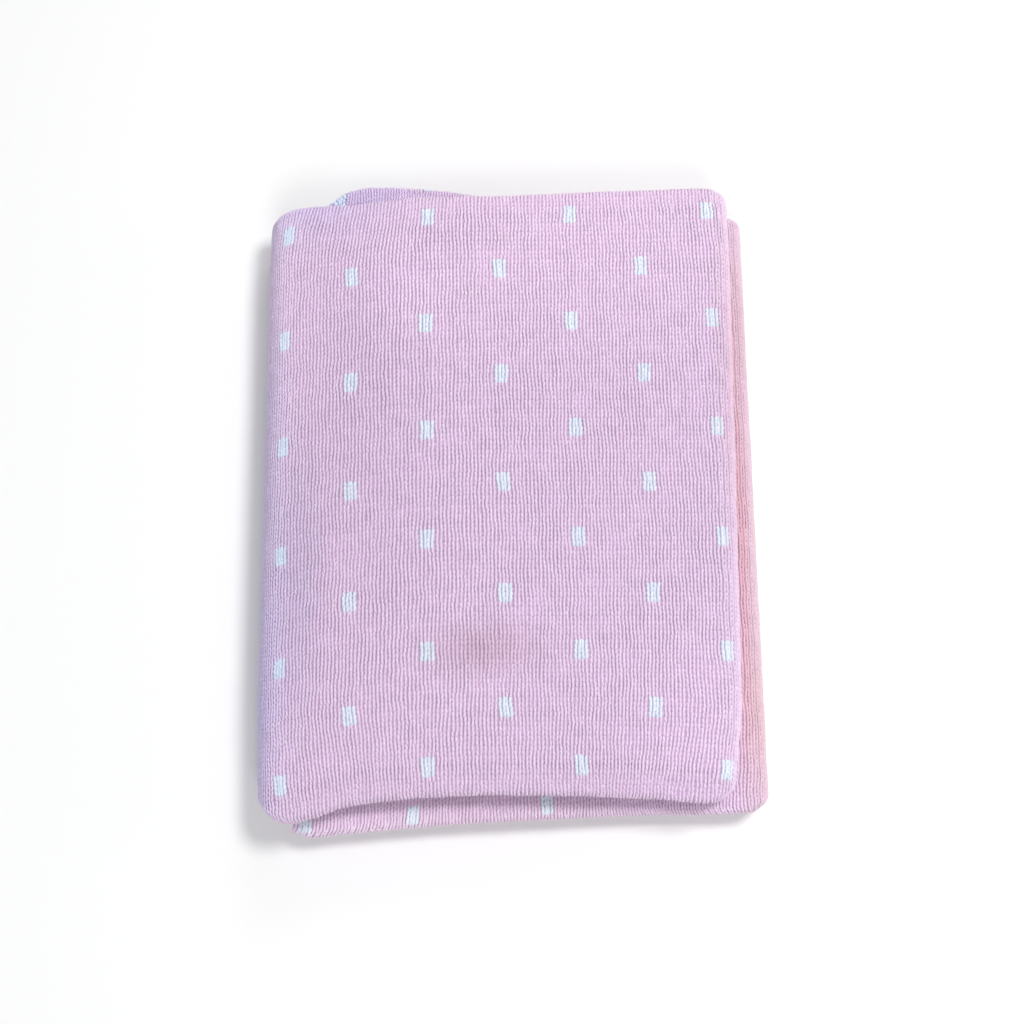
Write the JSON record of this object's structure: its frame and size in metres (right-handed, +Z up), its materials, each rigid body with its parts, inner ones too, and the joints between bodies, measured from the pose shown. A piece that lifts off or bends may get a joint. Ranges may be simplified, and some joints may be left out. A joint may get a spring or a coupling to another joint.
{
  "type": "folded baby blanket",
  "caption": "Knitted cotton baby blanket, folded flat into a thick rounded oblong, pale pink with a half-drop layout of small white spots.",
  "frame": {"origin": "middle of the underside, where the folded blanket rests", "axes": "+X across the folded blanket towards its double folded edge, +Y from its front to its back along the wales of the knit, +Z up out of the cover"},
  "size_m": [0.2222, 0.2976, 0.0385],
  "materials": {
    "pink_cotton_knit": "matte cotton stockinette knit, pale pink with small white spots, rows of V stitches running front to back"
  },
  "bodies": {
    "root": {"knitted_sheet": "pink_cotton_knit"}
  },
  "joints": []
}
